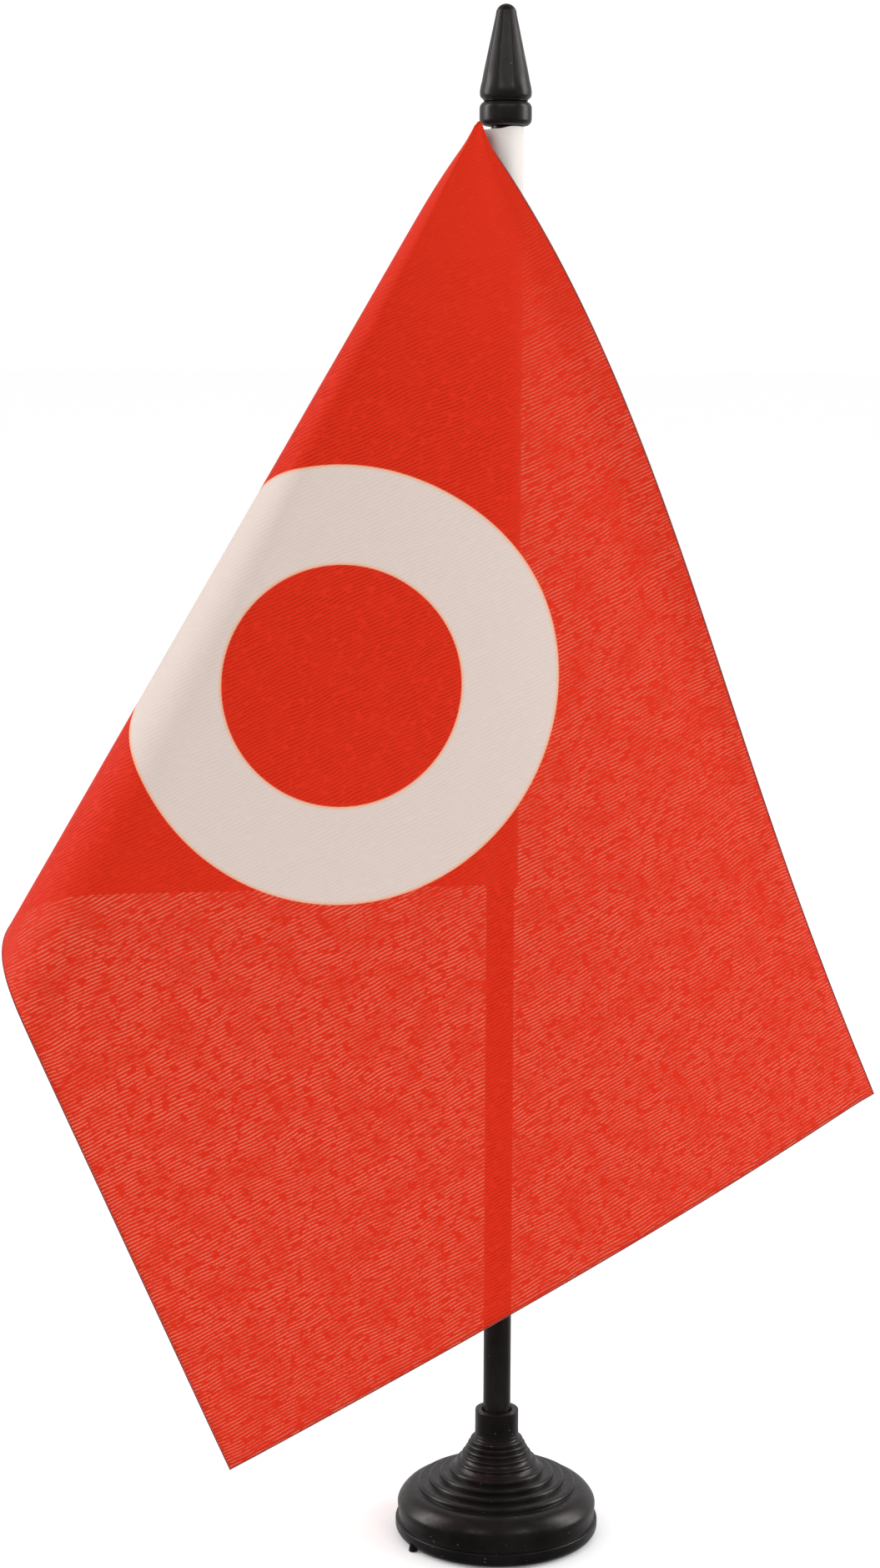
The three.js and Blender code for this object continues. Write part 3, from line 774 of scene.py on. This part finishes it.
# ---------------------------------------------------------------------------
# Hoist sleeve. A narrow white hem of the same cloth, wrapped once round the
# pole; its two ends come together as a flat flange that is sewn to the flag.
# ---------------------------------------------------------------------------
sleeve_low, sleeve_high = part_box("hoist_sleeve")
hem_radius = sleeve_high.x / mm - 0.12
hem_thickness = 0.18
hem_weft_pitch = 0.45 * mm
flange_reach = 5.4
flange_gap = cloth_thickness / 2 + 0.03 + hem_thickness / 2
hem_rows = 90
hem_line = []
flange_x = np.linspace(-flange_reach, -hem_radius - 0.35, 8)
for x in flange_x:
    hem_line.append((x, -flange_gap))
start = math.asin(flange_gap / hem_radius) + 0.12
for angle in np.linspace(-math.pi + start, math.pi - start, 72):
    hem_line.append((hem_radius * math.cos(angle), hem_radius * math.sin(angle)))
for x in flange_x[::-1]:
    hem_line.append((x, flange_gap))
hem_line = np.array(hem_line)
hem_step = np.gradient(hem_line, axis=0)
hem_out = np.stack([hem_step[:, 1], -hem_step[:, 0]], -1)
hem_out /= np.linalg.norm(hem_out, axis=-1, keepdims=True)
hem_sides = [hem_line + hem_out * hem_thickness / 2, hem_line - hem_out * hem_thickness / 2]
hem_top = sleeve_high.z / mm
hem_bottom = sleeve_low.z / mm
hem_random = np.random.default_rng(7)
top_wander = hem_random.normal(0, 0.05, len(hem_line)).cumsum()
top_wave = -0.06 + 0.06 * np.tanh(top_wander) + 0.24 * np.tanh(hem_line[:, 0] / 0.8)
hem_points = []
for outline in hem_sides:
    for k, (x, y) in enumerate(outline):
        for j in range(hem_rows + 1):
            s = j / hem_rows
            top = hem_top + top_wave[k]
            ripple = 1 + 0.006 * math.sin(9.0 * s + 0.5 * k) * math.sin(21.0 * s)
            hem_points.append((x * ripple, y * ripple, top + (hem_bottom - top) * s))
hem_rows_in = hem_rows + 1
hem_total = len(hem_line) * hem_rows_in
hem_quads = []
for k in range(len(hem_line) - 1):
    for j in range(hem_rows):
        a = k * hem_rows_in + j
        hem_quads.append((a, a + 1, a + hem_rows_in + 1, a + hem_rows_in))
        b = hem_total + a
        hem_quads.append((b, b + hem_rows_in, b + hem_rows_in + 1, b + 1))
    top, low = k * hem_rows_in, k * hem_rows_in + hem_rows
    hem_quads.append((top, top + hem_rows_in, hem_total + top + hem_rows_in, hem_total + top))
    hem_quads.append((low, hem_total + low, hem_total + low + hem_rows_in, low + hem_rows_in))
last = (len(hem_line) - 1) * hem_rows_in
for j in range(hem_rows):
    hem_quads.append((j, hem_total + j, hem_total + j + 1, j + 1))
    hem_quads.append((last + j, last + j + 1, hem_total + last + j + 1, hem_total + last + j))
hem_mesh = bpy.data.meshes.new("hoist_hem")
hem_mesh.from_pydata([(x * mm, y * mm, z * mm) for x, y, z in hem_points], [], hem_quads)
hem_mesh.validate()
hem_mesh.shade_smooth()
hem_mesh.set_sharp_from_angle(angle=math.radians(50))
hem = bpy.data.objects.new("hoist_hem", hem_mesh)
bpy.context.scene.collection.objects.link(hem)

white_cloth, node, links, shader, place = finish_nodes("white_woven_hem", 0.75, 0.2)
hem_apart = node("ShaderNodeSeparateXYZ", {"Vector": place})
hem_weft = calc("SINE", calc("MULTIPLY", hem_apart.outputs["Z"], 2 * math.pi / hem_weft_pitch))
hem_drag = node("ShaderNodeMapping", {"Vector": place, "Scale": (1.0, 1.0, 0.12)})
hem_noise = node("ShaderNodeTexNoise", {"Vector": hem_drag.outputs[0], "Scale": 1500.0})
hem_cloud = node("ShaderNodeTexNoise", {"Vector": place, "Scale": 220.0, "Detail": 3.0})
hem_tone = node("ShaderNodeMix", {"Factor": hem_cloud.outputs["Fac"]}, data_type="RGBA")
hem_tone.inputs[6].default_value = (0.70, 0.655, 0.625, 1)
hem_tone.inputs[7].default_value = (0.74, 0.70, 0.67, 1)
links.new(hem_tone.outputs[2], shader.inputs["Base Color"])
hem_height = calc("ADD", calc("MULTIPLY", hem_weft, 0.4), hem_noise.outputs["Fac"])
hem_bump = node("ShaderNodeBump", {"Height": hem_height, "Strength": 0.3, "Distance": 0.00004})
links.new(hem_bump.outputs["Normal"], shader.inputs["Normal"])
hem_through = node("ShaderNodeBsdfTranslucent", {"Color": hem_tone.outputs[2]})
hem_mix = node("ShaderNodeMixShader", {"Fac": 0.12})
links.new(shader.outputs[0], hem_mix.inputs[1])
links.new(hem_through.outputs[0], hem_mix.inputs[2])
links.new(
    hem_mix.outputs[0], white_cloth.node_tree.nodes["Material Output"].inputs["Surface"]
)
hem_mesh.materials.append(white_cloth)
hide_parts("hoist_sleeve")
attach(hem, "flag")

# ---------------------------------------------------------------------------
# Seam threads. One row of lock stitches down the hoist: white polyester thread
# that lies in short raised stitches on each face of the flange.
# ---------------------------------------------------------------------------
thread_paint, node, links, shader, place = finish_nodes("white_sewing_thread", 0.6, 0.3)
twist_place = node("ShaderNodeMapping", {"Vector": place, "Scale": (1.0, 1.0, 0.7)})
twist = node(
    "ShaderNodeTexWave",
    {"Vector": twist_place.outputs[0], "Scale": 1800.0, "Distortion": 1.5},
    bands_direction="DIAGONAL",
)
thread_tone = node("ShaderNodeMix", {"Factor": twist.outputs["Fac"]}, data_type="RGBA")
thread_tone.inputs[6].default_value = (0.66, 0.62, 0.58, 1)
thread_tone.inputs[7].default_value = (0.86, 0.83, 0.80, 1)
links.new(thread_tone.outputs[2], shader.inputs["Base Color"])
thread_bump = node(
    "ShaderNodeBump",
    {"Height": twist.outputs["Fac"], "Strength": 0.5, "Distance": 0.00003},
)
links.new(thread_bump.outputs["Normal"], shader.inputs["Normal"])

stitch_tree = bpy.data.node_groups.new("row_of_stitches", "GeometryNodeTree")
ports = stitch_tree.interface
ports.new_socket("Geometry", in_out="INPUT", socket_type="NodeSocketGeometry")
ports.new_socket("Geometry", in_out="OUTPUT", socket_type="NodeSocketGeometry")
for label, size in (("Pitch", 3.5 * mm), ("Stitch length", 2.7 * mm), ("Thread width", 0.34 * mm)):
    ports.new_socket(label, in_out="INPUT", socket_type="NodeSocketFloat").default_value = size
ports.new_socket("Thread", in_out="INPUT", socket_type="NodeSocketMaterial")


def tree_node(tree, kind, inputs=None, **settings):
    """One node of a Geometry Nodes tree, with its inputs wired or set."""
    made = tree.nodes.new(kind)
    for key, value in settings.items():
        setattr(made, key, value)
    for socket, value in (inputs or {}).items():
        if isinstance(value, bpy.types.NodeSocket):
            tree.links.new(value, made.inputs[socket])
        else:
            made.inputs[socket].default_value = value
    return made


given = tree_node(stitch_tree, "NodeGroupInput").outputs
seam_curve = tree_node(stitch_tree, "GeometryNodeMeshToCurve", {"Mesh": given["Geometry"]})
spots = tree_node(
    stitch_tree,
    "GeometryNodeResampleCurve",
    {"Curve": seam_curve.outputs["Curve"], "Length": given["Pitch"]},
    mode="LENGTH",
)
bead = tree_node(stitch_tree, "GeometryNodeMeshUVSphere", {"Segments": 10, "Rings": 8})
half = tree_node(
    stitch_tree, "ShaderNodeMath", {0: given["Stitch length"], 1: 0.5}, operation="MULTIPLY"
)
slim = tree_node(
    stitch_tree, "ShaderNodeMath", {0: given["Thread width"], 1: 0.5}, operation="MULTIPLY"
)
bead_size = tree_node(
    stitch_tree,
    "ShaderNodeCombineXYZ",
    {"X": slim.outputs[0], "Y": slim.outputs[0], "Z": half.outputs[0]},
)
shaped = tree_node(
    stitch_tree,
    "GeometryNodeTransform",
    {"Geometry": bead.outputs["Mesh"], "Scale": bead_size.outputs[0]},
)
laid = tree_node(
    stitch_tree,
    "GeometryNodeInstanceOnPoints",
    {"Points": spots.outputs["Curve"], "Instance": shaped.outputs["Geometry"]},
)
real = tree_node(
    stitch_tree, "GeometryNodeRealizeInstances", {"Geometry": laid.outputs["Instances"]}
)
smooth = tree_node(
    stitch_tree, "GeometryNodeSetShadeSmooth", {"Geometry": real.outputs["Geometry"]}
)
dressed = tree_node(
    stitch_tree,
    "GeometryNodeSetMaterial",
    {"Geometry": smooth.outputs["Geometry"], "Material": given["Thread"]},
)
tree_node(stitch_tree, "NodeGroupOutput", {"Geometry": dressed.outputs["Geometry"]})


def grown(name, guide, tree, values):
    """Runs a Geometry Nodes tree on a guide mesh and keeps the result as a plain mesh piece."""
    guide_object = bpy.data.objects.new(name, guide)
    bpy.context.scene.collection.objects.link(guide_object)
    growth = guide_object.modifiers.new("growth", "NODES")
    growth.node_group = tree
    for item in tree.interface.items_tree:
        if item.in_out == "INPUT" and item.name in values:
            growth[item.identifier] = values[item.name]
    scene_graph = bpy.context.evaluated_depsgraph_get()
    result = bpy.data.meshes.new_from_object(guide_object.evaluated_get(scene_graph))
    guide_object.modifiers.clear()
    guide_object.data = result
    return guide_object


stitch_x = seam_x - 1.0
stitch_lift = flange_gap + hem_thickness / 2 + 0.04
row_ends_in = 1.5 * mm
for name, side, node_name in (
    ("seam_thread_needle", -1, "seam_thread_front"),
    ("seam_thread_bobbin", 1, "seam_thread_back"),
):
    thread_low, thread_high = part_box(node_name)
    guide = bpy.data.meshes.new(name + "_line")
    ends = [
        (stitch_x * mm, side * stitch_lift * mm, thread_high.z - row_ends_in),
        (stitch_x * mm, side * stitch_lift * mm, thread_low.z + row_ends_in),
    ]
    guide.from_pydata(ends, [(0, 1)], [])
    thread = grown(name, guide, stitch_tree, {"Thread": thread_paint})
    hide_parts(node_name)
    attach(thread, "flag")

# ---------------------------------------------------------------------------
# Heat-cut edge. The flag's three free edges are cut with a hot knife, which
# melts the threads into a hair-thin, hard, darker bead that stops fraying.
# ---------------------------------------------------------------------------
edge_paint, node, links, shader, place = finish_nodes("melted_edge", 0.35)
edge_noise = node("ShaderNodeTexNoise", {"Vector": place, "Scale": 900.0, "Detail": 3.0})
edge_tone = node("ShaderNodeMix", {"Factor": edge_noise.outputs["Fac"]}, data_type="RGBA")
edge_tone.inputs[6].default_value = (0.12, 0.035, 0.045, 1)
edge_tone.inputs[7].default_value = (0.30, 0.07, 0.06, 1)
links.new(edge_tone.outputs[2], shader.inputs["Base Color"])
edge_bump = node(
    "ShaderNodeBump",
    {"Height": edge_noise.outputs["Fac"], "Strength": 0.6, "Distance": 0.00005},
)
links.new(edge_bump.outputs["Normal"], shader.inputs["Normal"])

bead_tree = bpy.data.node_groups.new("melted_bead", "GeometryNodeTree")
ports = bead_tree.interface
ports.new_socket("Geometry", in_out="INPUT", socket_type="NodeSocketGeometry")
ports.new_socket("Geometry", in_out="OUTPUT", socket_type="NodeSocketGeometry")
ports.new_socket("Bead radius", in_out="INPUT", socket_type="NodeSocketFloat").default_value = (
    0.13 * mm
)
ports.new_socket("Melt", in_out="INPUT", socket_type="NodeSocketMaterial")
given = tree_node(bead_tree, "NodeGroupInput").outputs
edge_curve = tree_node(bead_tree, "GeometryNodeMeshToCurve", {"Mesh": given["Geometry"]})
section = tree_node(
    bead_tree,
    "GeometryNodeCurvePrimitiveCircle",
    {"Resolution": 8, "Radius": given["Bead radius"]},
)
bead_mesh = tree_node(
    bead_tree,
    "GeometryNodeCurveToMesh",
    {
        "Curve": edge_curve.outputs["Curve"],
        "Profile Curve": section.outputs["Curve"],
        "Fill Caps": True,
    },
)
real = tree_node(
    bead_tree, "GeometryNodeRealizeInstances", {"Geometry": bead_mesh.outputs["Mesh"]}
)
smooth = tree_node(bead_tree, "GeometryNodeSetShadeSmooth", {"Geometry": real.outputs["Geometry"]})
dressed = tree_node(
    bead_tree,
    "GeometryNodeSetMaterial",
    {"Geometry": smooth.outputs["Geometry"], "Material": given["Melt"]},
)
tree_node(bead_tree, "NodeGroupOutput", {"Geometry": dressed.outputs["Geometry"]})

edge_points = [*middle[-1, 6:], *middle[-2::-1, -1]]
edge_guide = bpy.data.meshes.new("cut_edge_line")
edge_guide.from_pydata(
    [(x * mm, y * mm, z * mm) for x, y, z in edge_points],
    [(k, k + 1) for k in range(len(edge_points) - 1)],
    [],
)
cut_edge = grown("heat_cut_edge", edge_guide, bead_tree, {"Melt": edge_paint})
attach(cut_edge, "flag")

# ---------------------------------------------------------------------------
# Studio. A pale floor under an even white surround, a broad soft light at each
# side, two weak ones from the front, and one that only reaches the finial.
# ---------------------------------------------------------------------------
floor_half = 30
floor_z = -0.2 * mm
floor_corners = [
    (x * floor_half, y * floor_half, floor_z) for x, y in ((-1, -1), (1, -1), (1, 1), (-1, 1))
]
floor_mesh = bpy.data.meshes.new("studio_floor")
floor_mesh.from_pydata(floor_corners, [], [(0, 1, 2, 3)])
floor = bpy.data.objects.new("studio_floor", floor_mesh)
bpy.context.scene.collection.objects.link(floor)
paper, node, links, shader, place = finish_nodes("pale_paper", 0.9, 0.1)
shader.inputs["Base Color"].default_value = (0.93, 0.93, 0.93, 1)
shader.inputs["Emission Color"].default_value = (1, 1, 1, 1)
shader.inputs["Emission Strength"].default_value = 0.14
floor_mesh.materials.append(paper)
floor.visible_glossy = False

world = bpy.data.worlds.new("white_surround")
bpy.context.scene.world = world
world.use_nodes = True
sky_nodes = world.node_tree.nodes
sky_links = world.node_tree.links


def sky(kind, inputs):
    """One node of the surround, with its inputs wired or set."""
    made = sky_nodes.new(kind)
    for socket, value in inputs.items():
        if isinstance(value, bpy.types.NodeSocket):
            sky_links.new(value, made.inputs[socket])
        else:
            made.inputs[socket].default_value = value
    return made


white_paper = (1, 1, 1, 1)
direction = sky("ShaderNodeTexCoord", {}).outputs["Generated"]
apart = sky("ShaderNodeSeparateXYZ", {"Vector": direction}).outputs
backdrop = sky("ShaderNodeMapRange", {"Value": apart["Y"], "From Min": 0.05, "From Max": 0.8})
backdrop.inputs["To Min"].default_value = 0.04
backdrop.inputs["To Max"].default_value = 0.6
ceiling = sky("ShaderNodeMapRange", {"Value": apart["Z"], "From Min": 0.35, "From Max": 1.0})
ceiling.inputs["To Max"].default_value = 0.07
overhead = sky("ShaderNodeMath", {0: backdrop.outputs[0], 1: ceiling.outputs[0]})
seen = sky("ShaderNodeBackground", {"Color": white_paper, "Strength": 1.05})
even_light = sky("ShaderNodeBackground", {"Color": white_paper, "Strength": 0.95})
mirrored = sky("ShaderNodeBackground", {"Color": white_paper, "Strength": overhead.outputs[0]})
ray = sky("ShaderNodeLightPath", {}).outputs
lit = sky(
    "ShaderNodeMixShader",
    {0: ray["Is Glossy Ray"], 1: even_light.outputs[0], 2: mirrored.outputs[0]},
)
shown = sky(
    "ShaderNodeMixShader",
    {0: ray["Is Camera Ray"], 1: lit.outputs[0], 2: seen.outputs[0]},
)
sky_links.new(shown.outputs[0], sky_nodes["World Output"].inputs["Surface"])
world.cycles.sampling_method = "NONE"


def softbox(name, place, aim, width, height, power):
    """A rectangular soft light at a place, turned to a point."""
    light = bpy.data.lights.new(name, "AREA")
    light.shape = "RECTANGLE"
    light.size = width
    light.size_y = height
    light.energy = power
    lamp = bpy.data.objects.new(name, light)
    turn = (Vector(aim) - Vector(place)).to_track_quat("-Z", "Y")
    lamp.matrix_world = Matrix.Translation(place) @ turn.to_matrix().to_4x4()
    bpy.context.scene.collection.objects.link(lamp)
    return lamp


stand_middle = (0, 0, 0.13)
softbox("left_light", (-0.95, 0.1, 0.45), stand_middle, 0.35, 0.9, 5.0)
softbox("right_light", (0.95, 0.1, 0.45), stand_middle, 0.35, 0.9, 5.0)
spear_light = softbox("spear_light", (0, -1.05, 0.89), (0, 0, 0.28), 1.1, 0.5, 1.6)
lit_by_it = bpy.data.collections.new("lit_by_spear_light")
lit_by_it.objects.link(finial)
spear_light.light_linking.receiver_collection = lit_by_it
softbox("front_left_light", (-0.6, -1.2, 1.0), stand_middle, 0.22, 0.22, 1.0)
softbox("front_right_light", (0.7, -1.1, 1.0), stand_middle, 0.22, 0.22, 1.1)

# The camera stands in front, at four fifths of the stand's height, and looks a little down.
camera_pitch = math.radians(8.521)
camera_roll = math.radians(0.214)
ahead = Vector((0, math.cos(camera_pitch), -math.sin(camera_pitch)))
upright = Vector((0, math.sin(camera_pitch), math.cos(camera_pitch)))
level = Vector((1, 0, 0))
camera_place = (-0.01149, -0.5416, 0.2284)
camera_x = level * math.cos(camera_roll) + upright * math.sin(camera_roll)
camera_y = upright * math.cos(camera_roll) - level * math.sin(camera_roll)
camera_data = bpy.data.cameras.new("camera")
camera_data.sensor_width = 36.0
camera_data.sensor_fit = "AUTO"
camera_data.lens = 66.85
camera_data.clip_start = 0.01
camera = bpy.data.objects.new("camera", camera_data)
camera.matrix_world = Matrix(
    (
        (camera_x.x, camera_y.x, -ahead.x, camera_place[0]),
        (camera_x.y, camera_y.y, -ahead.y, camera_place[1]),
        (camera_x.z, camera_y.z, -ahead.z, camera_place[2]),
        (0, 0, 0, 1),
    )
)
bpy.context.scene.collection.objects.link(camera)
bpy.context.scene.camera = camera
bpy.context.scene.view_settings.view_transform = "Standard"
